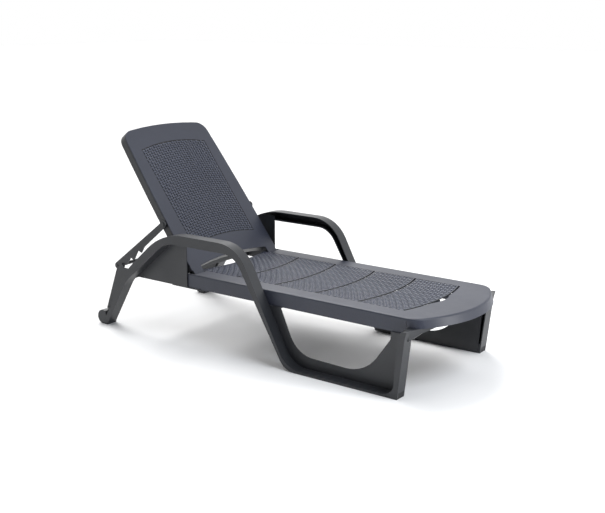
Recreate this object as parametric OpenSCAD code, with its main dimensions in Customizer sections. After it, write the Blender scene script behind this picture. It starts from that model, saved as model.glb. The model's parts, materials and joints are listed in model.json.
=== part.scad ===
// Reclining sun lounger in moulded resin: a woven deck between two side
// frames, and a backrest held up by a pair of notched prop arms.
// +X points to the foot end, +Y to the left of someone lying down, +Z up.

/* [Overall] */
// Length from the backrest hinge to the tip of the foot end
seat_l = 1208; // [1150:5:1460]
// Length from the backrest hinge back to the heel of the rear leg
rear_l = 526; // [500:2:640]
// Width over the outer faces of the side frames
overall_w = 700; // [640:5:860]
// Height of the lying surface
seat_h = 297; // [280:1:360]
// Height of the top of the armrests
arm_h = 470; // [450:1:570]

/* [Deck] */
// Width of the deck over its skirts
deck_w = 588; // [530:2:600]
// Thickness of moulded plates and skirts
wall = 4; // [3:0.5:5]
// Depth of the skirt along the rails
skirt_h = 60; // [50:1:75]
// Depth of the rim round the foot end
foot_rim_h = 35; // [28:1:42]
// How far the rim flares out at the tip of the foot end
foot_flare = 12; // [0:1:16]
// Length of the plain plate at the foot end
foot_plate_l = 174; // [140:2:210]
// Width of the woven panels
weave_w = 428; // [360:2:440]
// Number of woven panels
panels = 5; // [4:1:6]
// Width of the drain slots between the panels
slot_w = 9; // [4:0.5:11]
// Bow of the slots towards the foot end
slot_bow = 34; // [20:1:45]
// Radius of the foot end in plan
end_r = 455; // [420:5:560]
// Radius of the foot corners in plan
corner_r = 75; // [50:5:130]
// Depth that the woven panels sit below the surface
weave_drop = 1.5; // [1:0.25:2]
// Thickness of the stiffening ribs
rib_t = 3; // [2.5:0.5:4]
// Depth of the stiffening ribs under the deck
rib_h = 30; // [22:1:34]

/* [Side frames] */
// Thickness of the armrest
arm_t = 42; // [34:1:50]
// Depth of the frame ribbon, from its outer face to the panels
ribbon_w = 50; // [42:1:60]
// Thickness of the runner on the ground
runner_t = 10; // [8:1:14]
// Gap between a side panel and the deck skirt
panel_gap = 2; // [1.5:0.5:3]
// Height of the leg glides
glide_h = 24; // [18:1:30]

/* [Backrest] */
// Length of the backrest from its hinge line to its top
back_l = 734; // [640:2:880]
// Width of the backrest near its hinge
back_w = 565; // [500:1:566]
// Width of the backrest near its top
back_top_w = 525; // [440:1:545]
// Rise of the top edge in the middle
back_crown = 20; // [10:1:30]
// Depth of the backrest rim
rim_h = 38; // [28:1:39]
// Width of the woven field of the backrest
back_weave_w = 406; // [340:2:420]
// Angle of the backrest above flat
recline = 53; // [50:1:56]

/* [Hinges and prop] */
// Radius of the backrest hinge pins
hinge_pin_r = 6; // [5:0.5:7]
// Depth of the hinge line below the lying surface
hinge_drop = 20; // [19:0.5:22]
// Distance of the prop pivot up the backrest
pivot_u = 264; // [250:1:280]
// Radius of the prop pivot pins
prop_pin_r = 5; // [4:0.5:6]
// Distance from the prop pivot to the crossbar
prop_l = 368; // [360:1:376]
// Thickness of the prop arms
prop_t = 7.5; // [6:0.5:8]
// Slope of the prop arms below level when latched
prop_slope = 37; // [36:0.5:38]
// Radius of the pegs that the notches rest on
peg_r = 7; // [6:0.25:7]
// Radius of the prop crossbar
bar_r = 8; // [6:0.5:9]
// Radial running clearance of pins in their bores
run_gap = 0.06; // [0.03:0.01:0.1]

/* [Fasteners] */
// Radius of the screw shanks
screw_r = 2.5; // [2:0.25:3]
// Radius of the screw heads
screw_head_r = 6; // [5:0.5:7]

/* [Hidden] */
$fn = 48;

eps = 0.01;
steps = 8;
resin_light = [0.36, 0.38, 0.43];
resin_dark = [0.27, 0.28, 0.30];
rubber = [0.08, 0.08, 0.09];
steel = [0.62, 0.63, 0.65];

overall_l = seat_l + rear_l;
foot_x = overall_l / 2;
heel_x = -overall_l / 2;
hinge_x = foot_x - seat_l;
hinge_z = seat_h - hinge_drop;

// Planes across the lounger, all as distances from the middle.
half_w = overall_w / 2;
deck_half = deck_w / 2;
panel_in = deck_half + panel_gap;
panel_out = half_w - ribbon_w;
rail_bottom = seat_h - skirt_h;
rim_bottom = seat_h - foot_rim_h;

// Deck stations.
hinge_room = 22;
rail_overlap = 31;
seat_gap = 19;
pitch = (seat_l - foot_plate_l - seat_gap) / panels;
slot_r = (pow(weave_w / 2, 2) + pow(slot_bow, 2)) / (2 * slot_bow);
finger_depth = 18;
finger_r = 150;
tongue_half = weave_w / 2 + wall;
screw_inset = 22;
deck_y = deck_half - screw_inset;
boss_r = 8;
pin_skin = 1.5;
ledge_t = 4;
ledge_w = 36;
ledge_in = deck_half - ledge_w;
hinge_boss_l = 13;
hinge_boss_t = 8.4;
deck_screw_l = 24;

// Side frame stations, from the hinge, the heel and the foot end.
arm_rear_x = hinge_x - 103;
arm_front_x = hinge_x + 306;
slope_run = 245;
leg_x = foot_x - 146;
leg_top_t = 29;
leg_foot_t = 20;
leg_lean = 26;
seam_x = hinge_x - 14;
heel_r = 32;
channel_low = 40;
shoulder_h = 40;
shoulder_t = 8;
lap = 1;

// Tie beam behind the hinge.
tie_x = hinge_x - 206;
tie_w = 50;
tie_z = rail_bottom + 5;
tie_h = 23;
tie_gap = 0.3;
socket_d = 20;

// Glides and screw heads.
glide_edge = 6;
glide_back = 14;
front_glide_l = 30;
rear_glide_l = 34;
rear_glide_x = heel_x + 18;
rear_glide_t = 6;
screw_head_t = 3;
socket_r = 2;
socket_t = 1.5;

// Backrest, flat: u runs up from the hinge line, w rises from it.
face_t = wall;
groove = 1.5;
stile_in = tongue_half + panel_gap;
stile_half = deck_half - wall - hinge_boss_l;
pin_grip = 31;
pin_in = stile_half - pin_grip;
stile_web = 8;
stile_deep = 7;
pivot_boss_r = 12;
pivot_boss_l = 16;
shell_ledge = 14;
shell_ledge_t = 3;
back_rib_pitch = 90;
hinge_swing = 26;
arch_u = 38;
arch_rise = 18;
rim_low = hinge_drop - rim_h;
weave_low_u = 131;
weave_low_bow = 21;
weave_top_gap = 90;
weave_top_bow = 24;
top_corner_r = 55;
boss_gap = 0.4;

// Prop, in its own plane: a runs from the pivot to the crossbar, b down.
pivot_w = 2;
prop_clear = 1;
head_room = 3.5;
prop_out = panel_in - prop_clear - head_room;
prop_in = prop_out - prop_t;
pin_head_r = 9;
pin_head_t = 3;
latch_end = 29;
latch_a = prop_l - latch_end;
latch_b = 23;
bar_b = 3;
pivot_x = hinge_x - pivot_u * cos(recline) + pivot_w * sin(recline);
pivot_z = hinge_z + pivot_u * sin(recline) + pivot_w * cos(recline);
peg_x = pivot_x - latch_a * cos(prop_slope) + latch_b * sin(prop_slope);
peg_z = pivot_z - latch_a * sin(prop_slope) - latch_b * cos(prop_slope);

// ---------- helpers ----------

function unit(v) = v / norm(v);
function wrap(a) = a > 180 ? a - 360 : a < -180 ? a + 360 : a;

// Points of the arc that rounds corner b, between points a and c.
function corner_arc(a, b, c, r) =
    let (
        u = unit([a.x - b.x, a.y - b.y]),
        v = unit([c.x - b.x, c.y - b.y]),
        h = acos(u * v) / 2,
        b2 = [b.x, b.y],
        m = b2 + unit(u + v) * r / sin(h),
        s = b2 + u * r / tan(h) - m,
        e = b2 + v * r / tan(h) - m,
        a0 = atan2(s.y, s.x),
        turn = wrap(atan2(e.y, e.x) - a0)
    )
    [for (i = [0:steps]) m + r * [cos(a0 + turn * i / steps), sin(a0 + turn * i / steps)]];

// Outline through [x, y, radius] points, each corner rounded by its radius.
function rounded(p) =
    let (n = len(p))
    [for (i = [0:n - 1])
        each p[i].z == 0
            ? [[p[i].x, p[i].y]]
            : corner_arc(p[(i + n - 1) % n], p[i], p[(i + 1) % n], p[i].z)];

function arc(c, r, a0, a1, n = steps) =
    [for (i = [0:n]) c + r * [cos(a0 + (a1 - a0) * i / n), sin(a0 + (a1 - a0) * i / n)]];

// A flat shape drawn in X and Z, from y0 to y1 across the lounger.
module upright(y0, y1) {
    translate([0, y1, 0])
        rotate([90, 0, 0])
            linear_extrude(y1 - y0)
                children();
}

// A round bar across the lounger.
module cross_pin(x, z, r, y0, y1) {
    translate([x, y1, z])
        rotate([90, 0, 0])
            cylinder(r = r, h = y1 - y0);
}

module side(s) {
    if (s > 0) {
        children();
    } else {
        mirror([0, 1, 0]) children();
    }
}

// ---------- deck ----------

end_turn = asin((deck_half - corner_r) / (end_r - corner_r));

// Outline in plan, inset by d, with the foot end pulled back by back.
function deck_outline(d, rear, back = 0) =
    let (
        ec = [foot_x - end_r - back, 0],
        cx = ec.x + (end_r - corner_r) * cos(end_turn),
        cy = deck_half - corner_r
    )
    concat(
        [[rear, -(deck_half - d)]],
        arc([cx, -cy], corner_r - d, -90, -end_turn),
        arc(ec, end_r - d, -end_turn, end_turn, 2 * steps),
        arc([cx, cy], corner_r - d, end_turn, 90),
        [[rear, deck_half - d]]
    );

function slot_x(k) = hinge_x + seat_gap + k * pitch;

// A band that follows the bow of slot k, from r0 inside to r1 outside it.
module bowed_band(k, r0, r1, half, z0, z1) {
    intersection() {
        translate([slot_x(k) - slot_r, 0, z0])
            difference() {
                cylinder(r = slot_r + r1, h = z1 - z0, $fn = 180);
                translate([0, 0, -1])
                    cylinder(r = slot_r + r0, h = z1 - z0 + 2, $fn = 180);
            }
        translate([slot_x(k) - 2 * slot_bow, -half, z0 - 1])
            cube([3 * slot_bow, 2 * half, z1 - z0 + 2]);
    }
}

// The woven field of panel k, as the sunken floor that the weave fills.
module panel_recess(k) {
    intersection() {
        translate([slot_x(k) - slot_r, 0, seat_h - weave_drop])
            difference() {
                translate([pitch, 0, 0])
                    cylinder(r = slot_r - slot_w, h = wall, $fn = 180);
                translate([0, 0, -1])
                    cylinder(r = slot_r + slot_w, h = wall + 2, $fn = 180);
            }
        translate([slot_x(k) - 2 * slot_bow, -weave_w / 2, seat_h - wall])
            cube([pitch + 3 * slot_bow, weave_w, 2 * wall]);
    }
}

// Finger opening in front of the last slot, cut through the ribs as well.
module finger_opening() {
    difference() {
        translate([slot_x(panels) + finger_depth - finger_r, 0, seat_h - rib_h - 1])
            cylinder(r = finger_r, h = rib_h + 2, $fn = 90);
        translate([slot_x(panels) - slot_r, 0, seat_h - rib_h - 2])
            cylinder(r = slot_r, h = rib_h + 4, $fn = 180);
    }
}

// Solid inside the deck's outer faces, inset by d, whose foot end flares.
module flared(d, rear, top) {
    hull() {
        translate([0, 0, rim_bottom])
            linear_extrude(eps)
                polygon(deck_outline(d, rear));
        translate([0, 0, top - eps])
            linear_extrude(eps)
                polygon(deck_outline(d, rear, foot_flare));
    }
}

module deck_plate() {
    difference() {
        intersection() {
            flared(0, hinge_x - rail_overlap, seat_h);
            translate([-overall_l, -overall_w, seat_h - wall])
                cube([2 * overall_l, 2 * overall_w, wall]);
            union() {
                translate([hinge_x + hinge_room, -deck_half, 0])
                    cube([seat_l, deck_w, seat_h + 1]);
                translate([hinge_x - rail_overlap, -tongue_half, 0])
                    cube([seat_l, 2 * tongue_half, seat_h + 1]);
            }
        }
        translate([slot_x(0) - slot_r, 0, 0])
            cylinder(r = slot_r, h = seat_h + 1, $fn = 180);
        for (k = [1:panels])
            bowed_band(k, -slot_w / 2, slot_w / 2, weave_w / 2, seat_h - wall - 1, seat_h + 1);
        for (k = [0:panels - 1])
            panel_recess(k);
    }
}

module deck_skirt() {
    rear = hinge_x - rail_overlap;
    difference() {
        flared(0, rear, seat_h);
        flared(wall, rear - 1, seat_h + 1);
        translate([rear - 2, -(deck_half - wall), rim_bottom - 1])
            cube([seat_l / 2, 2 * (deck_half - wall), foot_rim_h + 2]);
    }
    for (s = [-1, 1])
        side(s)
            translate([rear, deck_half - wall, rail_bottom])
                cube([leg_x - 2 - rear, wall, skirt_h - wall]);
}

module deck_ribs() {
    rib_z = seat_h - rib_h;
    intersection() {
        translate([0, 0, rib_z])
            linear_extrude(rib_h - wall + eps)
                polygon(deck_outline(wall - eps, hinge_x, foot_flare));
        union() {
            for (y = [-0.5, -0.25, 0, 0.25, 0.5])
                translate([slot_x(0), y * weave_w - rib_t / 2, rib_z])
                    cube([seat_l, rib_t, rib_h]);
            for (k = [0:panels - 1], f = [0.28, 0.6])
                translate([slot_x(k) + f * pitch, -deck_half, rib_z])
                    cube([rib_t, deck_w, rib_h]);
            translate([foot_x - foot_plate_l / 2, -deck_half, rib_z])
                cube([rib_t, deck_w, rib_h]);
        }
    }
}

// Walls round the notches that the backrest stiles swing in.
module notch_walls() {
    wall_z = seat_h - rib_h;
    bowed_band(0, 0, rib_t, tongue_half, wall_z, seat_h - wall + eps);
    for (s = [-1, 1])
        side(s) {
            translate([hinge_x + seat_gap - slot_bow + 4, tongue_half - rib_t, wall_z])
                cube([hinge_room + rib_t + 11, rib_t, rib_h - wall + eps]);
            translate([hinge_x + hinge_room, tongue_half - rib_t, wall_z])
                cube([rib_t, deck_half - tongue_half + rib_t - wall + eps, rib_h - wall + eps]);
        }
}

ledge_stations = [hinge_x + 45, hinge_x + 449, leg_x - 33];

module deck() color(resin_light) {
    difference() {
        union() {
            deck_plate();
            deck_skirt();
            deck_ribs();
            notch_walls();
            for (s = [-1, 1], x = ledge_stations)
                translate([x, s * deck_y, rail_bottom])
                    cylinder(r = boss_r, h = skirt_h - wall + eps);
            for (s = [-1, 1])
                side(s)
                    cross_pin(hinge_x, hinge_z, 2 * hinge_pin_r, stile_half + 1, deck_half - wall + eps);
        }
        finger_opening();
        for (s = [-1, 1], x = ledge_stations)
            translate([x, s * deck_y, rail_bottom - 1])
                cylinder(r = screw_r, h = deck_screw_l + 2);
        for (s = [-1, 1])
            side(s)
                cross_pin(hinge_x, hinge_z, hinge_pin_r, stile_half, deck_half - pin_skin);
    }
}

// ---------- side frames ----------

arm_low = arm_h - arm_t;
leg_rear_x = leg_x - leg_foot_t;
slope_foot_x = arm_front_x + slope_run;

// The ribbon: rear leg, armrest, sloping leg, runner and front leg.
function ribbon() = rounded([
    [heel_x + 27, 0, 0],
    [heel_x + 208, arm_h - 186, 200],
    [arm_rear_x, arm_h, 310],
    [arm_front_x, arm_h, 160],
    [slope_foot_x, runner_t, 110],
    [leg_rear_x + 2, runner_t, 50],
    [leg_x + leg_lean - leg_top_t, rim_bottom, 30],
    [leg_x + leg_lean + 8, rim_bottom, 0],
    [leg_x + leg_lean, rim_bottom - 32, 0],
    [leg_x, 0, 0],
    [slope_foot_x - 7, 0, 80],
    [arm_front_x - 14, arm_low, 100],
    [arm_rear_x + 14, arm_low, 150],
    [heel_x + 190, arm_h - 249, 150],
    [heel_x + 58, 0, 0],
]);

// The rounded heel that the rear leg stands on.
function heel() = concat(
    arc([heel_x + heel_r, heel_r], heel_r, 60, 270, 2 * steps),
    [[heel_x + heel_r + 28, 0], [heel_x + heel_r + 28, 20]]
);

// The panel behind the seam: it closes the frame beside the backrest and
// runs down behind the rear leg.
function rear_panel() = rounded([
    [seam_x, rail_bottom, 3],
    [seam_x, arm_low + arm_t / 2, 0],
    [arm_rear_x + 7, arm_low + arm_t / 2, 0],
    [heel_x + 199, arm_h - 218, 0],
    [heel_x + 150, peg_z - 2, 20],
    [peg_x - 26, peg_z - 2, 16],
    [heel_x + 8, 62, 0],
    [heel_x + 27, 0, 0],
    [heel_x + 47, 0, 0],
    [heel_x + 176, rail_bottom - 18, 25],
    [heel_x + 221, rail_bottom, 25],
]);

// The panel between the sloping leg and the front leg.
function front_panel() = [
    [arm_front_x + 113, rail_bottom],
    [slope_foot_x, 3],
    [leg_x - 10, 3],
    [leg_x + 8, rail_bottom],
];

moon_l = hinge_x + 486;
moon_r = leg_x - 62;

// The half-moon opening under the rail.
function half_moon() = rounded([
    [moon_l, rail_bottom + 1, 0],
    [moon_l + 81, 58, 120],
    [moon_r - 112, 50, 170],
    [moon_r, rail_bottom - 30, 40],
    [moon_r, rail_bottom + 1, 0],
]);

module ledge(x0, x1, y1) {
    translate([x0, ledge_in, rail_bottom - ledge_t])
        cube([x1 - x0, y1 - ledge_in, ledge_t]);
}

// Socket on the inside of the rear panel that takes the tie beam's end.
module tie_socket() {
    wide = tie_w + 2 * (tie_gap + wall);
    tall = tie_h + 2 * (tie_gap + wall);
    difference() {
        translate([tie_x - wide / 2, panel_in - socket_d, tie_z - tie_gap - wall])
            cube([wide, socket_d + lap, tall]);
        translate([tie_x - tie_w / 2 - tie_gap, panel_in - socket_d - 1, tie_z - tie_gap])
            cube([tie_w + 2 * tie_gap, socket_d + 1, tie_h + 2 * tie_gap]);
    }
}

// The foot end's corner rests on a shoulder that sweeps in from the leg.
module shoulder() {
    leg_front = leg_x + leg_lean;
    hull() {
        translate([leg_front - leg_foot_t, panel_in, rim_bottom - shoulder_h])
            cube([leg_foot_t + 2, leg_top_t, shoulder_h]);
        translate([leg_front + 14, deck_half - 40, rim_bottom - shoulder_h / 2])
            cube([shoulder_t, 26, shoulder_h / 2]);
    }
    hull() {
        translate([leg_front + 14, deck_half - 40, rim_bottom - shoulder_h / 2])
            cube([shoulder_t, 26, shoulder_h / 2]);
        translate([leg_front + 44, deck_half - 84, rim_bottom - wall])
            cube([shoulder_t, 24, wall]);
    }
}

// The ribbon is a channel, open towards the inside, above its solid runner.
module channel() {
    intersection() {
        offset(delta = -wall)
            polygon(ribbon());
        translate([heel_x, channel_low])
            square([overall_l, arm_h]);
    }
}

module side_frame(s) color(resin_dark) side(s) {
    difference() {
        union() {
            difference() {
                upright(panel_out - lap, half_w)
                    polygon(ribbon());
                upright(panel_out - 2 * lap, half_w - wall)
                    channel();
            }
            upright(panel_in, panel_out)
                polygon(rear_panel());
            upright(panel_in, panel_out)
                difference() {
                    polygon(front_panel());
                    polygon(half_moon());
                }
            upright(panel_in, half_w)
                polygon(heel());
            cross_pin(peg_x, peg_z, peg_r, prop_in - 1, panel_out - lap);
            cross_pin(peg_x, peg_z, 2 * peg_r, panel_in - 0.5, panel_out);
            ledge(seam_x - 90, ledge_stations[0] + 14, panel_in + lap);
            ledge(ledge_stations[1] - 24, moon_l + 2, panel_in + lap);
            ledge(moon_r + 4, leg_x, panel_in + lap);
            tie_socket();
            shoulder();
        }
        for (x = ledge_stations)
            translate([x, deck_y, rail_bottom - ledge_t - 1])
                cylinder(r = screw_r, h = ledge_t + 2);
        translate([tie_x, panel_in - socket_d / 2, tie_z - tie_gap - wall - 1])
            cylinder(r = screw_r, h = wall + tie_gap + 2);
        front_glide_block(half_w - glide_edge, panel_out + glide_edge);
        rear_glide_block();
    }
}

// Glides of the front leg close the toe, those of the rear leg the heel.
module front_glide_block(y1, y0) {
    difference() {
        translate([leg_x - glide_back, y0, -1])
            cube([front_glide_l, y1 - y0, glide_h + 1]);
        translate([leg_x - glide_back - 1, y0 - 1, -2])
            cube([front_glide_l + 2, y1 - y0 + 2, 2]);
    }
}

module rear_glide_block() {
    translate([rear_glide_x, panel_in + glide_edge, 0])
        cube([rear_glide_l, half_w - panel_in - 2 * glide_edge, rear_glide_t]);
}

module front_glide(s) color(rubber) side(s) {
    intersection() {
        front_glide_block(half_w - glide_edge, panel_out + glide_edge);
        upright(panel_out, half_w)
            polygon([
                [leg_x - glide_back, 0], [leg_x - glide_back, glide_h],
                [leg_x + 1, glide_h], [leg_x - 1, 0],
            ]);
    }
}

module rear_glide(s) color(rubber) side(s) {
    rear_glide_block();
}

module rear_tie_beam() color(resin_dark) {
    difference() {
        translate([tie_x - tie_w / 2, -panel_in + tie_gap, tie_z])
            cube([tie_w, 2 * (panel_in - tie_gap), tie_h]);
        translate([tie_x - tie_w / 2 + wall, -panel_in, tie_z + wall])
            cube([tie_w - 2 * wall, 2 * panel_in, tie_h - 2 * wall]);
        for (s = [-1, 1])
            translate([tie_x, s * (panel_in - socket_d / 2), tie_z - 1])
                cylinder(r = screw_r, h = wall + 2);
    }
}

// A screw driven upwards, its head under the point given.
module screw_up(x, y, z, l) {
    translate([x, y, z])
        cylinder(r = screw_r, h = l);
    translate([x, y, z - screw_head_t])
        difference() {
            cylinder(r = screw_head_r, h = screw_head_t);
            translate([0, 0, -1])
                cylinder(r = socket_r, h = socket_t + 1, $fn = 6);
        }
}

module deck_screws(s) color(steel) side(s) {
    for (x = ledge_stations)
        screw_up(x, deck_y, rail_bottom - ledge_t, deck_screw_l);
}

module tie_screws(s) color(steel) side(s) {
    screw_up(tie_x, panel_in - socket_d / 2, tie_z - tie_gap - wall, wall + tie_gap + wall);
}

module hinge_pin(s) color(resin_dark) side(s) {
    cross_pin(hinge_x, hinge_z, hinge_pin_r, pin_in, deck_half - pin_skin);
}

// ---------- backrest ----------

// Stands a part drawn flat (u along -X, w along Z) at the hinge.
module reclined() {
    translate([hinge_x, 0, hinge_z])
        rotate([0, recline, 0])
            children();
}

side_u = back_l - 94;
side_drop = (back_w - back_top_w) / 2;
top_half = back_top_w / 2;
top_r = (pow(top_half, 2) + pow(back_crown, 2)) / (2 * back_crown);

function half_at(u) = back_w / 2 - side_drop * pow(u / side_u, 2);
function top_u(y) = back_l - top_r + sqrt(pow(top_r, 2) - pow(y, 2));

// Half of the backrest outline in [x, y, corner radius], inset by d.
function back_half(d) = concat(
    [[-d, stile_in + d, 0]],
    [for (i = [0:steps]) let (u = side_u * i / steps) [-max(u, d), half_at(u) - d, 0]],
    [[-(top_u(half_at(back_l - back_crown)) - d), half_at(back_l - back_crown) - d, top_corner_r - d]],
    [for (y = [0.74, 0.5, 0.25]) [-(top_u(y * top_half) - d), y * top_half, 0]]
);

function flip(p) = [for (i = [len(p) - 1:-1:0]) [p[i].x, -p[i].y, p[i].z]];

function arch(d) = [for (i = [-steps:steps])
    let (f = i / steps)
    [-(arch_u + arch_rise * (1 - f * f) + d), f * (stile_in + d), 0]];

function back_outline(d) = rounded(concat(
    back_half(d),
    [[-(back_l - d), 0, 0]],
    flip(back_half(d)),
    arch(d)
));

function weave_outline() =
    let (
        h = back_weave_w / 2,
        top = back_l - weave_top_gap
    )
    concat(
        [for (i = [-steps:steps]) let (f = i / steps)
            [-(top - weave_top_bow * f * f), f * h]],
        [for (i = [steps:-1:-steps]) let (f = i / steps)
            [-(weave_low_u + weave_low_bow * (1 - f * f)), f * h]]
    );

// Room beside each stile for the hinge boss on the deck skirt.
module boss_room() {
    for (s = [-1, 1])
        side(s)
            translate([-hinge_swing, stile_half, rim_low - 1])
                cube([2 * hinge_swing, back_w, rim_h + 2]);
}

module backrest_face() color(resin_light) reclined() {
    difference() {
        translate([0, 0, hinge_drop - face_t])
            linear_extrude(face_t)
                polygon(back_outline(0));
        translate([0, 0, hinge_drop - weave_drop])
            linear_extrude(face_t)
                polygon(weave_outline());
        boss_room();
        translate([-4, -back_w, 0])
            cube([20, 2 * back_w, 2 * rim_h]);
    }
}

face_screw_u = [30, back_l * 0.45, back_l - 120];
function face_screw_y(u) = u < 60 ? stile_in + 28 : half_at(u) - wall - boss_r + 1;

module backrest_shell() color(resin_dark) reclined() {
    seat_w = hinge_drop - face_t;
    difference() {
        union() {
            difference() {
                translate([0, 0, rim_low])
                    linear_extrude(seat_w - groove - rim_low)
                        polygon(back_outline(0));
                translate([0, 0, rim_low - 1])
                    linear_extrude(rim_h + 2)
                        polygon(back_outline(wall));
                boss_room();
            }
            difference() {
                translate([0, 0, seat_w - shell_ledge_t])
                    linear_extrude(shell_ledge_t)
                        polygon(back_outline(wall - 1));
                translate([0, 0, seat_w - shell_ledge_t - 1])
                    linear_extrude(shell_ledge_t + 2)
                        polygon(back_outline(shell_ledge));
                boss_room();
            }
            intersection() {
                translate([0, 0, rim_low + 4])
                    linear_extrude(seat_w - rim_low - 4)
                        polygon(back_outline(wall - eps));
                union() {
                    for (i = [-2:2])
                        translate([-back_l, i * back_rib_pitch - rib_t / 2, rim_low])
                            cube([back_l, rib_t, rim_h]);
                    for (u = [1:5])
                        translate([-u * back_l / 6, -back_w / 2, rim_low])
                            cube([rib_t, back_w, rim_h]);
                }
            }
            for (s = [-1, 1])
                side(s) {
                    cross_pin(0, 0, hinge_pin_r + hinge_boss_t, pin_in - 2, stile_half);
                    for (y = [pin_in - 2, stile_half - stile_web])
                        translate([-arch_u, y, -stile_deep])
                            cube([arch_u, stile_web, seat_w + stile_deep - eps]);
                    cross_pin(-pivot_u, pivot_w, pivot_boss_r,
                        half_at(pivot_u) - pivot_boss_l, prop_in - boss_gap);
                    for (u = face_screw_u)
                        translate([-u, face_screw_y(u), rim_low + 6])
                            cylinder(r = boss_r, h = seat_w - rim_low - 6);
                }
        }
        for (s = [-1, 1])
            side(s) {
                cross_pin(0, 0, hinge_pin_r + run_gap, stile_in, deck_half);
                cross_pin(-pivot_u, pivot_w, prop_pin_r, half_at(pivot_u) - pivot_boss_l - 4, prop_out);
                for (u = face_screw_u)
                    translate([-u, face_screw_y(u), rim_low])
                        cylinder(r = screw_r, h = rim_h);
            }
    }
}

// Screws from behind that hold the face to the shell's bosses.
module face_screws() color(steel) reclined() {
    for (s = [-1, 1], u = face_screw_u)
        translate([0, s * face_screw_y(u), 0])
            screw_up(-u, 0, rim_low + 6, rim_h - 6 - face_t);
}

// ---------- prop ----------

module latched() {
    translate([pivot_x, 0, pivot_z])
        rotate([0, -prop_slope, 0])
            children();
}

arm_top = 11.5;

// Underside of a prop arm: saw teeth whose steep faces take the load.
function prop_outline() = [for (p = [
    [0, -arm_top], [prop_l, -arm_top], [prop_l, 12],
    [latch_a + 13, 14], [latch_a - 5, 15], [latch_a - 25, 30],
    [latch_a - 72, 15.5], [latch_a - 80, 36],
    [latch_a - 133, 13.4], [latch_a - 144, 32.6],
    [latch_a - 174, 21], [0, 15],
]) [-p.x, -p.y]];

module prop_arm(s) color(resin_dark) side(s) latched() {
    difference() {
        union() {
            upright(prop_in, prop_out)
                polygon(prop_outline());
            cross_pin(0, 0, 16, prop_in, prop_out);
            cross_pin(-prop_l, -bar_b, 14, prop_in, prop_out);
        }
        cross_pin(0, 0, prop_pin_r + run_gap, prop_in - 1, prop_out + 1);
        cross_pin(-prop_l, -bar_b, screw_r, prop_in - 1, prop_out + 1);
    }
}

module prop_crossbar() color(resin_dark) latched() {
    difference() {
        cross_pin(-prop_l, -bar_b, bar_r, -prop_in, prop_in);
        cross_pin(-prop_l, -bar_b, screw_r, -prop_in - 1, prop_in + 1);
    }
}

module crossbar_plug(s) color(resin_dark) side(s) latched() {
    cross_pin(-prop_l, -bar_b, screw_r, prop_in - 20, prop_out);
    cross_pin(-prop_l, -bar_b, screw_head_r, prop_out, prop_out + 2.5);
}

// The pivot pins are pressed into the shell and the arms turn on them.
module prop_pin(s) color(resin_dark) side(s) reclined() {
    cross_pin(-pivot_u, pivot_w, prop_pin_r, half_at(pivot_u) - 16, prop_out + boss_gap);
    cross_pin(-pivot_u, pivot_w, pin_head_r, prop_out + boss_gap, prop_out + boss_gap + pin_head_t);
}

deck();
side_frame(-1);  // side_frame_right
side_frame(1);  // side_frame_left
rear_tie_beam();
hinge_pin(-1);  // hinge_pin_right
hinge_pin(1);  // hinge_pin_left
front_glide(-1);  // front_glide_right
front_glide(1);  // front_glide_left
rear_glide(-1);  // rear_glide_right
rear_glide(1);  // rear_glide_left
deck_screws(-1);  // deck_screws_right
deck_screws(1);  // deck_screws_left
tie_screws(-1);  // tie_screws_right
tie_screws(1);  // tie_screws_left
backrest_shell();
backrest_face();
face_screws();
prop_pin(-1);  // prop_pin_right
prop_pin(1);  // prop_pin_left
prop_arm(-1);  // prop_arm_right
prop_arm(1);  // prop_arm_left
prop_crossbar();
crossbar_plug(-1);  // crossbar_plug_right
crossbar_plug(1);  // crossbar_plug_left
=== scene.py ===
# %% [markdown]
# # A reclining sun lounger in moulded resin
# The lounger comes in as a fixed frame of separate parts, each in its true
# place. This lesson gives those parts their moulded edges, weaves the deck
# and the backrest, paints the resin, and lights it as in a studio.

# %% Load the frame
import json
import math

import bmesh
import bpy
from mathutils import Matrix, Vector


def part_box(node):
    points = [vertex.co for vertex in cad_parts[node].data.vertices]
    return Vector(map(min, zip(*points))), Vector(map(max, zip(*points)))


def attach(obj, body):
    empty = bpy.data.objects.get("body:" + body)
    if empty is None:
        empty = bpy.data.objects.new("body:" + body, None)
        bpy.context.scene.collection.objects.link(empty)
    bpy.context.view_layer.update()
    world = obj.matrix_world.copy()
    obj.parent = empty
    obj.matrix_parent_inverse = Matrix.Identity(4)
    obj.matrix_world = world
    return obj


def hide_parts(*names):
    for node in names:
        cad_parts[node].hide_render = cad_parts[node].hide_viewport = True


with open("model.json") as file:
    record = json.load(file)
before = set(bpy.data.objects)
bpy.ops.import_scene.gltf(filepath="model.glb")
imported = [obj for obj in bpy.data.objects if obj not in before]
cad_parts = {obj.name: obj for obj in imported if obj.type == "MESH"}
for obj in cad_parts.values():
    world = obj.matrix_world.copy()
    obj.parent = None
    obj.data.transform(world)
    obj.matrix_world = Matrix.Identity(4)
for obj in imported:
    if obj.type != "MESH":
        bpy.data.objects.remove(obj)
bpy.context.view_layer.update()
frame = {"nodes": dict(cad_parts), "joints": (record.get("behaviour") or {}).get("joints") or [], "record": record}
nodes = frame["nodes"]

# %% [markdown]
# Every place is read from the frame or worked out from a few sizes, so that
# nothing has to be fitted by eye. Blender works in metres.

# %% Sizes
MM = 0.001
DECK_LOW, DECK_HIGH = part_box("deck")
SEAT_H = DECK_HIGH.z
FOOT_X = DECK_HIGH.x
joint_places = {j["name"]: Vector(j["pos_m"]) for j in frame["joints"]}
HINGE = joint_places["backrest_hinge"]

PANELS = 5
FOOT_PLATE = 174 * MM
SEAT_GAP = 19 * MM
PITCH = (FOOT_X - HINGE.x - FOOT_PLATE - SEAT_GAP) / PANELS
SLOT_W = 9 * MM
SLOT_BOW = 34 * MM
WEAVE_W = 428 * MM
WEAVE_DROP = 1.5 * MM

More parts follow.
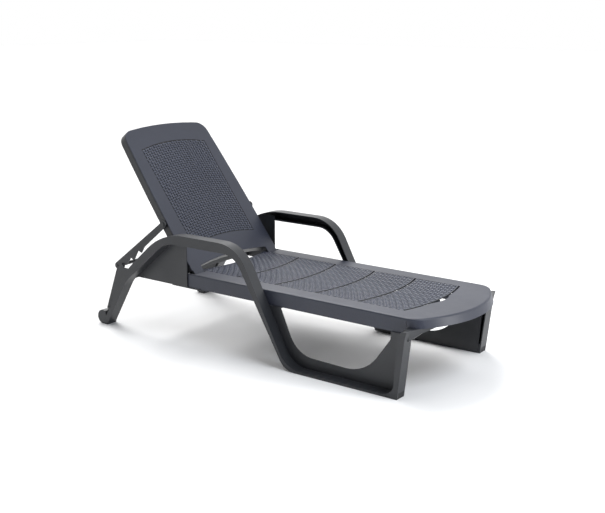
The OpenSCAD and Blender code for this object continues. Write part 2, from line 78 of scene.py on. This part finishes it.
RECLINE = math.radians(53)
FACE_RISE = SEAT_H - HINGE.z
BACK_WEAVE_W = 406 * MM
BACK_WEAVE_LOW = 131 * MM
BACK_WEAVE_TOP = 620 * MM
BACK_WEAVE_BOW = 22 * MM


def bow_radius(width, bow):
    """Radius of the arc that rises by bow over a chord of this width."""
    return ((width / 2) ** 2 + bow**2) / (2 * bow)


print(f"seat {SEAT_H:.3f} m high, woven panels {PITCH:.3f} m apart")

# %% [markdown]
# ## Materials
# Moulded resin is one colour all through. What makes it look real is small:
# tone that drifts over a large part, a fine spark-eroded grain from the mould,
# and patches where the surface is a little smoother. All of it is made from
# noise on Object coordinates, so that it stays put when a part moves.

# %% Material helpers
def new_material(name):
    material = bpy.data.materials.new(name)
    material.use_nodes = True
    material.node_tree.nodes.clear()
    return material


def add(tree, kind, values=None, **settings):
    """Adds a node, sets its properties and unlinked inputs, and returns it."""
    made = tree.nodes.new(kind)
    for key, value in settings.items():
        setattr(made, key, value)
    for key, value in (values or {}).items():
        made.inputs[key].default_value = value
    return made


def noise(tree, place, scale, detail, roughness=0.5):
    made = add(tree, "ShaderNodeTexNoise", {"Scale": scale, "Detail": detail, "Roughness": roughness})
    tree.links.new(place.outputs["Object"], made.inputs["Vector"])
    return made


def spread(tree, source, low, high):
    """Maps a noise, which stays near its middle, onto the range low to high."""
    levels = {"From Min": 0.3, "From Max": 0.7, "To Min": low, "To Max": high}
    made = add(tree, "ShaderNodeMapRange", levels)
    tree.links.new(source, made.inputs["Value"])
    return made.outputs["Result"]


def resin(name, dark, light, rough, grain_depth=0.12 * MM, grain_scale=650):
    """Satin moulded resin whose tone drifts between two near colours."""
    material = new_material(name)
    tree = material.node_tree
    place = add(tree, "ShaderNodeTexCoord")
    drift = noise(tree, place, 3.2, 4, 0.55)
    fleck = noise(tree, place, 420, 2)
    grain = noise(tree, place, grain_scale, 3, 0.6)
    sheen_patches = noise(tree, place, 7, 3)

    tone = add(tree, "ShaderNodeMix", data_type="RGBA")
    tone.inputs["A"].default_value = (*dark, 1)
    tone.inputs["B"].default_value = (*light, 1)
    tree.links.new(spread(tree, drift.outputs["Fac"], 0, 1), tone.inputs["Factor"])
    value = add(tree, "ShaderNodeHueSaturation")
    tree.links.new(spread(tree, fleck.outputs["Fac"], 0.9, 1.1), value.inputs["Value"])
    tree.links.new(tone.outputs["Result"], value.inputs["Color"])

    bump = add(tree, "ShaderNodeBump", {"Strength": 0.5, "Distance": grain_depth})
    tree.links.new(grain.outputs["Fac"], bump.inputs["Height"])

    shader = add(tree, "ShaderNodeBsdfPrincipled", {"IOR": 1.49})
    tree.links.new(value.outputs["Color"], shader.inputs["Base Color"])
    roughness = spread(tree, sheen_patches.outputs["Fac"], rough - 0.05, rough + 0.05)
    tree.links.new(roughness, shader.inputs["Roughness"])
    tree.links.new(bump.outputs["Normal"], shader.inputs["Normal"])
    out = add(tree, "ShaderNodeOutputMaterial")
    tree.links.new(shader.outputs["BSDF"], out.inputs["Surface"])
    return material


def zinc_steel(name):
    """Zinc-plated steel: bright, with fine turning marks and dull patches."""
    material = new_material(name)
    tree = material.node_tree
    place = add(tree, "ShaderNodeTexCoord")
    patches = noise(tree, place, 60, 4)
    marks = noise(tree, place, 900, 2)
    tone = add(tree, "ShaderNodeMix", data_type="RGBA")
    tone.inputs["A"].default_value = (0.42, 0.42, 0.44, 1)
    tone.inputs["B"].default_value = (0.62, 0.62, 0.63, 1)
    tree.links.new(spread(tree, patches.outputs["Fac"], 0, 1), tone.inputs["Factor"])
    bump = add(tree, "ShaderNodeBump", {"Strength": 0.4, "Distance": 0.05 * MM})
    tree.links.new(marks.outputs["Fac"], bump.inputs["Height"])
    shader = add(tree, "ShaderNodeBsdfPrincipled", {"Metallic": 1.0})
    tree.links.new(tone.outputs["Result"], shader.inputs["Base Color"])
    tree.links.new(spread(tree, patches.outputs["Fac"], 0.28, 0.45), shader.inputs["Roughness"])
    tree.links.new(bump.outputs["Normal"], shader.inputs["Normal"])
    out = add(tree, "ShaderNodeOutputMaterial")
    tree.links.new(shader.outputs["BSDF"], out.inputs["Surface"])
    return material


# %% Finishes
SLATE = resin("slate_resin", (0.029, 0.033, 0.050), (0.036, 0.041, 0.061), 0.44)
ANTHRACITE = resin("anthracite_resin", (0.022, 0.024, 0.028), (0.027, 0.029, 0.034), 0.42)
WOVEN = resin("woven_resin", (0.048, 0.055, 0.084), (0.066, 0.075, 0.108), 0.36)
# RECESS_SHADE is painted shade, a near-black colour for the sunken floors and slot walls; the real resin there is
# the slate of the deck.
RECESS_SHADE = resin("weave_shadow_resin", (0.006, 0.007, 0.009), (0.010, 0.011, 0.014), 0.7)
RUBBER = resin("glide_rubber", (0.016, 0.016, 0.018), (0.024, 0.024, 0.026), 0.72, 0.3 * MM, 300)
STEEL = zinc_steel("zinc_steel")
print("finishes:", ", ".join(m.name for m in (SLATE, ANTHRACITE, WOVEN, RECESS_SHADE, RUBBER, STEEL)))

# %% [markdown]
# ## Moulded edges
# A mould has no knife edges, and it is the rounded edge that catches the
# light. The frame's meshes are exact and sharp, so the side frames, the prop
# arms, the deck and the backrest face are each copied, their triangles are
# merged into faces, and a Bevel rounds what is sharper than a set angle. The
# deck has ribs and slots too thin for that, so only its rim is rounded, and by
# more. Weighted normals keep the flat faces flat. The copy then stands for the
# part of the frame.

# %% Edge helper
def merged_copy(source):
    """A copy of a part's mesh with shared corners and whole flat faces."""
    mesh = source.data.copy()
    work = bmesh.new()
    work.from_mesh(mesh)
    bmesh.ops.remove_doubles(work, verts=work.verts, dist=0.02 * MM)
    bmesh.ops.dissolve_degenerate(work, edges=work.edges, dist=0.02 * MM)
    bmesh.ops.dissolve_limit(work, angle_limit=math.radians(0.5), verts=work.verts, edges=work.edges)
    work.to_mesh(mesh)
    work.free()
    return mesh


def bake_modifiers(piece):
    """Turns a piece with modifiers into the plain mesh that they make."""
    graph = bpy.context.evaluated_depsgraph_get()
    mesh = bpy.data.meshes.new_from_object(piece.evaluated_get(graph))
    piece.modifiers.clear()
    piece.data = mesh
    return piece


def choose_edges(mesh, chosen):
    """Marks the chosen edges for the bevel and the other corners as sharp."""
    mesh.set_sharp_from_angle(angle=math.radians(30))
    weights = mesh.attributes.new("bevel_weight_edge", "FLOAT", "EDGE")
    for edge in mesh.edges:
        start, end = (mesh.vertices[number].co for number in edge.vertices)
        weights.data[edge.index].value = float(chosen(start, end))


def soften(node, width, materials, body, chosen=None, segments=2):
    """Stands a copy with rounded edges in for a part of the frame."""
    piece = bpy.data.objects.new(node + "_moulded", merged_copy(nodes[node]))
    bpy.context.scene.collection.objects.link(piece)
    piece.data.materials.clear()
    for material in materials:
        piece.data.materials.append(material)
    for face in piece.data.polygons:
        face.material_index = 0
        face.use_smooth = True
    if chosen:
        choose_edges(piece.data, chosen)
    bevel = piece.modifiers.new("edges", "BEVEL")
    bevel.width = width
    bevel.segments = segments
    bevel.limit_method = "WEIGHT" if chosen else "ANGLE"
    bevel.angle_limit = math.radians(28)
    bevel.use_clamp_overlap = not chosen
    bevel.harden_normals = False
    bevel.miter_outer = "MITER_ARC"
    weight = piece.modifiers.new("flat_faces", "WEIGHTED_NORMAL")
    weight.keep_sharp = True
    bake_modifiers(piece)
    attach(piece, body)
    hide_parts(node)
    print(f"{piece.name}: {len(piece.data.polygons)} faces")
    return piece


# %% Mouldings
RAIL_BAND = 6 * MM
FOOT_BAND = 150 * MM
NOTCH_ROOM = 25 * MM
TOUCH = 0.05 * MM


def deck_rim(start, end):
    """Whether an edge is on the deck's outer top edge, clear of the hinge."""
    middle = (start + end) / 2
    outside = abs(middle.y) > DECK_HIGH.y - RAIL_BAND or middle.x > FOOT_X - FOOT_BAND
    on_top = min(start.z, end.z) > SEAT_H - TOUCH
    return on_top and outside and middle.x > HINGE.x + NOTCH_ROOM


for side in ("right", "left"):
    soften("side_frame_" + side, 2.2 * MM, [ANTHRACITE], "root")
    soften("prop_arm_" + side, 0.9 * MM, [ANTHRACITE], "prop")
# The second finish of the deck and the backrest face is RECESS_SHADE, the painted shade that the sunken floors get
# further on.
deck = soften("deck", 6 * MM, [SLATE, RECESS_SHADE], "root", deck_rim, 4)
face = soften("backrest_face", 1.4 * MM, [SLATE, RECESS_SHADE], "backrest")

# %% [markdown]
# Between the strands one sees only shade. So the sunken floors that the weave
# stands on, and the walls of the drain slots, get painted shade: a near-black
# colour in place of the deck's own slate.

# %% Shade the sunken floors
def shade_recess(piece, origin, run, reach, off, surface, half_width, depth):
    """Paints shade: gives RECESS_SHADE to a copy's faces just below its surface, inside the weave.

    The weave reaches from reach[0] to reach[1] along run, and off points away
    from the surface, which is that far from the origin.
    """
    shaded = 0
    for polygon in piece.data.polygons:
        offset = piece.matrix_world @ polygon.center - origin
        below = surface - offset.dot(off)
        inside = reach[0] < offset.dot(run) < reach[1] and abs(offset.y) < half_width
        if inside and 0.4 * MM < below < depth:
            polygon.material_index = 1
            shaded += 1
    print(f"{piece.name}: {shaded} shaded faces")


ORIGIN = Vector((0, 0, 0))
FORWARD = Vector((1, 0, 0))
UP = Vector((0, 0, 1))
UP_THE_BACK = Vector((-math.cos(RECLINE), 0, math.sin(RECLINE)))
OFF_THE_BACK = Vector((math.sin(RECLINE), 0, math.cos(RECLINE)))
deck_reach = (HINGE.x, FOOT_X - FOOT_PLATE + 20 * MM)
back_reach = (BACK_WEAVE_LOW - 5 * MM, BACK_WEAVE_TOP + 40 * MM)
shade_recess(deck, ORIGIN, FORWARD, deck_reach, UP, SEAT_H, WEAVE_W / 2 + MM, 6 * MM)
shade_recess(
    face, HINGE, UP_THE_BACK, back_reach, OFF_THE_BACK, FACE_RISE, BACK_WEAVE_W / 2 + MM, 2.5 * MM
)

# %% [markdown]
# The rest of the frame's parts have the right shape already and only need
# their finish.

# %% Finish the other parts
FINISH = {"resin_light": SLATE, "resin_dark": ANTHRACITE, "rubber": RUBBER, "steel": STEEL}
slots = {row["node"]: row["material_slot"] for row in frame["record"]["subparts"]}
for name, node in nodes.items():
    node.data.materials.clear()
    node.data.materials.append(FINISH[slots[name]])

# %% [markdown]
# ## Weave
# The woven fields are relief in the mould: strands that pass over and under
# each other in turn. One strand hump is a rounded block. Geometry Nodes set
# it out on a grid whose rows follow the bow of the drain slots, and turn every
# other hump across, which is all that a plain weave is.

# %% Weave tree
def socket(tree, name, kind, default):
    made = tree.interface.new_socket(name, in_out="INPUT", socket_type=kind)
    made.default_value = default
    return made.identifier


def maths(tree, operation, a, b=None):
    """A math node; a and b are numbers or sockets. Returns its result."""
    made = add(tree, "ShaderNodeMath", operation=operation)
    for slot_number, value in enumerate((a, b)):
        if isinstance(value, (int, float)):
            made.inputs[slot_number].default_value = value
        elif value is not None:
            tree.links.new(value, made.inputs[slot_number])
    return made.outputs[0]


# Size of a hump against its cell along the row and across it, and its rise.
OVER_STRAND = (0.60, 0.36, 1.0)
UNDER_STRAND = (0.34, 0.60, 0.55)
ROUNDNESS = 0.72
BASE_LEVEL = -0.3


def weave_tree():
    """Grid of strand humps. Returns the tree and its inputs' identifiers."""
    tree = bpy.data.node_groups.new("plain_weave", "GeometryNodeTree")
    tree.interface.new_socket("Geometry", in_out="OUTPUT", socket_type="NodeSocketGeometry")
    keys = {
        "rows": socket(tree, "Rows", "NodeSocketInt", 13),
        "columns": socket(tree, "Columns", "NodeSocketInt", 28),
        "row_pitch": socket(tree, "Row Pitch", "NodeSocketFloat", 15 * MM),
        "column_pitch": socket(tree, "Column Pitch", "NodeSocketFloat", 15 * MM),
        "bow_radius": socket(tree, "Bow Radius", "NodeSocketFloat", 0.7),
        "height": socket(tree, "Hump Height", "NodeSocketFloat", 2 * MM),
    }
    keys["material"] = tree.interface.new_socket(
        "Material", in_out="INPUT", socket_type="NodeSocketMaterial"
    ).identifier
    link = tree.links.new
    given = add(tree, "NodeGroupInput").outputs

    grid = add(tree, "GeometryNodeMeshGrid")
    link(given["Rows"], grid.inputs["Vertices X"])
    link(given["Columns"], grid.inputs["Vertices Y"])
    rows_less = maths(tree, "SUBTRACT", given["Rows"], 1)
    columns_less = maths(tree, "SUBTRACT", given["Columns"], 1)
    link(maths(tree, "MULTIPLY", given["Row Pitch"], rows_less), grid.inputs["Size X"])
    link(maths(tree, "MULTIPLY", given["Column Pitch"], columns_less), grid.inputs["Size Y"])

    # Bow the rows: each point moves back by its arc's fall from the middle.
    across = add(tree, "ShaderNodeSeparateXYZ")
    link(add(tree, "GeometryNodeInputPosition").outputs[0], across.inputs[0])
    squares = maths(
        tree,
        "SUBTRACT",
        maths(tree, "MULTIPLY", given["Bow Radius"], given["Bow Radius"]),
        maths(tree, "MULTIPLY", across.outputs["Y"], across.outputs["Y"]),
    )
    fall = maths(tree, "SUBTRACT", maths(tree, "SQRT", squares), given["Bow Radius"])
    shift = add(tree, "ShaderNodeCombineXYZ")
    link(fall, shift.inputs["X"])
    bowed = add(tree, "GeometryNodeSetPosition")
    link(grid.outputs["Mesh"], bowed.inputs["Geometry"])
    link(shift.outputs[0], bowed.inputs["Offset"])

    # Every other hump runs across.
    index = add(tree, "GeometryNodeInputIndex").outputs[0]
    row = maths(tree, "FLOOR", maths(tree, "DIVIDE", index, given["Columns"]))
    column = maths(tree, "MODULO", index, given["Columns"])
    odd = maths(tree, "MODULO", maths(tree, "ADD", row, column), 2)
    is_odd = maths(tree, "GREATER_THAN", odd, 0.5)
    is_even = maths(tree, "LESS_THAN", odd, 0.5)

    # One hump: a block pulled most of the way to a ball, with a flat base that
    # stays inside the thickness of the plate.
    block = add(tree, "GeometryNodeMeshCube", {"Size": (2, 2, 2)})
    for socket_name, count in (("Vertices X", 4), ("Vertices Y", 4), ("Vertices Z", 3)):
        block.inputs[socket_name].default_value = count
    place = add(tree, "GeometryNodeInputPosition").outputs[0]
    ball = add(tree, "ShaderNodeVectorMath", operation="NORMALIZE")
    link(place, ball.inputs[0])
    blend = add(tree, "ShaderNodeMix", {"Factor": ROUNDNESS}, data_type="VECTOR")
    link(place, blend.inputs["A"])
    link(ball.outputs[0], blend.inputs["B"])
    parts = add(tree, "ShaderNodeSeparateXYZ")
    link(blend.outputs["Result"], parts.inputs[0])
    flat_based = add(tree, "ShaderNodeCombineXYZ")
    link(parts.outputs["X"], flat_based.inputs["X"])
    link(parts.outputs["Y"], flat_based.inputs["Y"])
    link(maths(tree, "MAXIMUM", parts.outputs["Z"], BASE_LEVEL), flat_based.inputs["Z"])
    hump = add(tree, "GeometryNodeSetPosition")
    link(block.outputs["Mesh"], hump.inputs["Geometry"])
    link(flat_based.outputs[0], hump.inputs["Position"])

    turn = add(tree, "ShaderNodeCombineXYZ")
    slope = maths(tree, "DIVIDE", across.outputs["Y"], given["Bow Radius"])
    link(maths(tree, "ARCSINE", slope), turn.inputs["Z"])
    joined = add(tree, "GeometryNodeJoinGeometry")
    for chosen, (along_row, along_column, rise) in ((is_odd, OVER_STRAND), (is_even, UNDER_STRAND)):
        scale = add(tree, "ShaderNodeCombineXYZ")
        link(maths(tree, "MULTIPLY", given["Row Pitch"], along_row), scale.inputs["X"])
        link(maths(tree, "MULTIPLY", given["Column Pitch"], along_column), scale.inputs["Y"])
        link(maths(tree, "MULTIPLY", given["Hump Height"], rise), scale.inputs["Z"])
        set_out = add(tree, "GeometryNodeInstanceOnPoints")
        link(bowed.outputs[0], set_out.inputs["Points"])
        link(hump.outputs[0], set_out.inputs["Instance"])
        link(chosen, set_out.inputs["Selection"])
        link(turn.outputs[0], set_out.inputs["Rotation"])
        link(scale.outputs[0], set_out.inputs["Scale"])
        link(set_out.outputs[0], joined.inputs[0])

    real = add(tree, "GeometryNodeRealizeInstances")
    link(joined.outputs[0], real.inputs[0])
    smooth = add(tree, "GeometryNodeSetShadeSmooth")
    link(real.outputs[0], smooth.inputs[0])
    painted = add(tree, "GeometryNodeSetMaterial")
    link(smooth.outputs[0], painted.inputs[0])
    link(given["Material"], painted.inputs["Material"])
    link(painted.outputs[0], add(tree, "NodeGroupOutput").inputs[0])
    return tree, keys


WEAVE, WEAVE_KEYS = weave_tree()
print("weave tree:", len(WEAVE.nodes), "nodes")


# %% Weave one field
HUMP_H = 3.2 * MM
HUMP_SINK = 0.3 * MM
EDGE_GAP = 4 * MM


def woven_field(name, length, width, bow, rows, columns, to_place, body):
    """A field of weave, length by width, moved to its place by a matrix."""
    piece = bpy.data.objects.new(name, bpy.data.meshes.new(name))
    bpy.context.scene.collection.objects.link(piece)
    maker = piece.modifiers.new("weave", "NODES")
    maker.node_group = WEAVE
    values = {
        "rows": rows,
        "columns": columns,
        "row_pitch": length / rows,
        "column_pitch": width / columns,
        "bow_radius": bow_radius(width, bow),
        "height": HUMP_H,
        "material": WOVEN,
    }
    for key, value in values.items():
        maker[WEAVE_KEYS[key]] = value
    bake_modifiers(piece)
    piece.data.transform(to_place)
    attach(piece, body)
    print(f"{name}: {rows} by {columns} humps, {len(piece.data.polygons)} faces")
    return piece


# %% [markdown]
# The deck's panels lie flat, one between each pair of slots. The backrest's
# field is made flat in the same way, then turned half round, so that its rows
# bow upwards, and leaned back about the hinge.

# %% Weave the deck and the backrest
MARGIN = SLOT_W
DECK_ROWS, DECK_COLUMNS = 13, 28
BACK_ROWS, BACK_COLUMNS = 45, 27
for panel in range(PANELS):
    middle = HINGE.x + SEAT_GAP + (panel + 0.5) * PITCH
    floor_z = SEAT_H - WEAVE_DROP - HUMP_SINK
    woven_field(
        f"deck_weave_{panel + 1}",
        PITCH - 2 * MARGIN,
        WEAVE_W - EDGE_GAP,
        SLOT_BOW,
        DECK_ROWS,
        DECK_COLUMNS,
        Matrix.Translation((middle, 0, floor_z)),
        "root",
    )

lean = Matrix.Translation(HINGE) @ Matrix.Rotation(RECLINE, 4, "Y")
field_middle = (BACK_WEAVE_LOW + BACK_WEAVE_TOP) / 2 + BACK_WEAVE_BOW
half_turn = Matrix.Rotation(math.pi, 4, "Z")
woven_field(
    "backrest_weave",
    BACK_WEAVE_TOP - BACK_WEAVE_LOW - EDGE_GAP,
    BACK_WEAVE_W - EDGE_GAP,
    BACK_WEAVE_BOW,
    BACK_ROWS,
    BACK_COLUMNS,
    lean @ Matrix.Translation((-field_middle, 0, FACE_RISE - WEAVE_DROP - HUMP_SINK)) @ half_turn,
    "backrest",
)

# %% [markdown]
# ## Studio
# A white floor, a surround that is bright behind the lounger and dark in
# front of it, and three soft lights. The broad one overhead gives the tops
# their blue-grey, the one at the foot end picks out the rim, and the one in
# front fills the face of the backrest. The near sides are left to the floor's
# own glow.

# %% Floor and world
def paper_white():
    material = new_material("studio_floor")
    tree = material.node_tree
    place = add(tree, "ShaderNodeTexCoord")
    fibre = noise(tree, place, 2, 2)
    shader = add(tree, "ShaderNodeBsdfPrincipled", {"Base Color": (0.92, 0.92, 0.92, 1)})
    shader.inputs["Specular IOR Level"].default_value = 0.1
    tree.links.new(spread(tree, fibre.outputs["Fac"], 0.75, 0.85), shader.inputs["Roughness"])
    out = add(tree, "ShaderNodeOutputMaterial")
    tree.links.new(shader.outputs["BSDF"], out.inputs["Surface"])
    return material


bpy.ops.mesh.primitive_plane_add(size=60)
floor = bpy.context.object
floor.name = "studio_floor"
floor.data.materials.append(paper_white())


def surround(bright, dim, towards):
    """A surround that is bright in one direction and falls to dim opposite."""
    world = bpy.data.worlds.new("studio")
    bpy.context.scene.world = world
    world.use_nodes = True
    tree = world.node_tree
    place = add(tree, "ShaderNodeTexCoord")
    along = add(tree, "ShaderNodeVectorMath", operation="DOT_PRODUCT")
    along.inputs[1].default_value = Vector(towards).normalized()
    tree.links.new(place.outputs["Generated"], along.inputs[0])
    levels = {"From Min": -0.6, "From Max": 0.5, "To Min": dim, "To Max": bright}
    level = add(tree, "ShaderNodeMapRange", levels)
    level.interpolation_type = "SMOOTHSTEP"
    tree.links.new(along.outputs["Value"], level.inputs["Value"])
    tree.links.new(level.outputs["Result"], tree.nodes["Background"].inputs["Strength"])
    tree.nodes["Background"].inputs["Color"].default_value = (1, 1, 1, 1)


surround(1.0, 0.04, (-0.5, 0.8, 0.4))


# %% Lights
def soft_light(name, place, aim, size, power, colour=(1, 1, 1)):
    data = bpy.data.lights.new(name, "AREA")
    data.shape = "RECTANGLE"
    data.size, data.size_y = size
    data.energy = power
    data.color = colour
    light = bpy.data.objects.new(name, data)
    bpy.context.scene.collection.objects.link(light)
    light.location = place
    light.rotation_mode = "QUATERNION"
    light.rotation_quaternion = (Vector(aim) - Vector(place)).to_track_quat("-Z", "Y")
    return light


def broad_light(name, direction, spread_angle, strength):
    """A sun wide enough to cast soft shadows; it lights the whole floor alike."""
    data = bpy.data.lights.new(name, "SUN")
    data.energy = strength
    data.angle = math.radians(spread_angle)
    light = bpy.data.objects.new(name, data)
    bpy.context.scene.collection.objects.link(light)
    light.rotation_mode = "QUATERNION"
    light.rotation_quaternion = (-Vector(direction)).to_track_quat("-Z", "Y")
    return light


broad_light("overhead", (-0.8, 0.5, 1.0), 38, 2.4)
soft_light("foot_end", (4.4, 0.9, 1.5), (0.7, 0, 0.28), (1.0, 1.2), 70)
soft_light("front_of_back", (2.6, -0.6, 3.2), (-0.5, 0, 0.6), (1.6, 1.6), 60, (0.88, 0.93, 1.0))

# %% [markdown]
# The camera stands at the foot end's right, a little above the lounger, with
# a long lens. Its place follows from a point on the lounger and two angles.

# %% Camera
CAMERA_AZIMUTH = math.radians(36.9)
CAMERA_ELEVATION = math.radians(13.63)
CAMERA_DISTANCE = 4.2
LOOK_AT = Vector((0.0836, -0.0714, 0.3912))

camera_data = bpy.data.cameras.new("camera")
camera_data.lens = 60.62
camera_data.sensor_width = 36
camera = bpy.data.objects.new("camera", camera_data)
bpy.context.scene.collection.objects.link(camera)
backwards = Vector((
    math.sin(CAMERA_AZIMUTH) * math.cos(CAMERA_ELEVATION),
    -math.cos(CAMERA_AZIMUTH) * math.cos(CAMERA_ELEVATION),
    math.sin(CAMERA_ELEVATION),
))
camera.location = LOOK_AT + backwards * CAMERA_DISTANCE
camera.rotation_mode = "QUATERNION"
camera.rotation_quaternion = (-backwards).to_track_quat("-Z", "Y")
bpy.context.scene.camera = camera
bpy.context.scene.view_settings.view_transform = "Standard"
print(f"camera {CAMERA_DISTANCE} m away with a {camera_data.lens} mm lens")
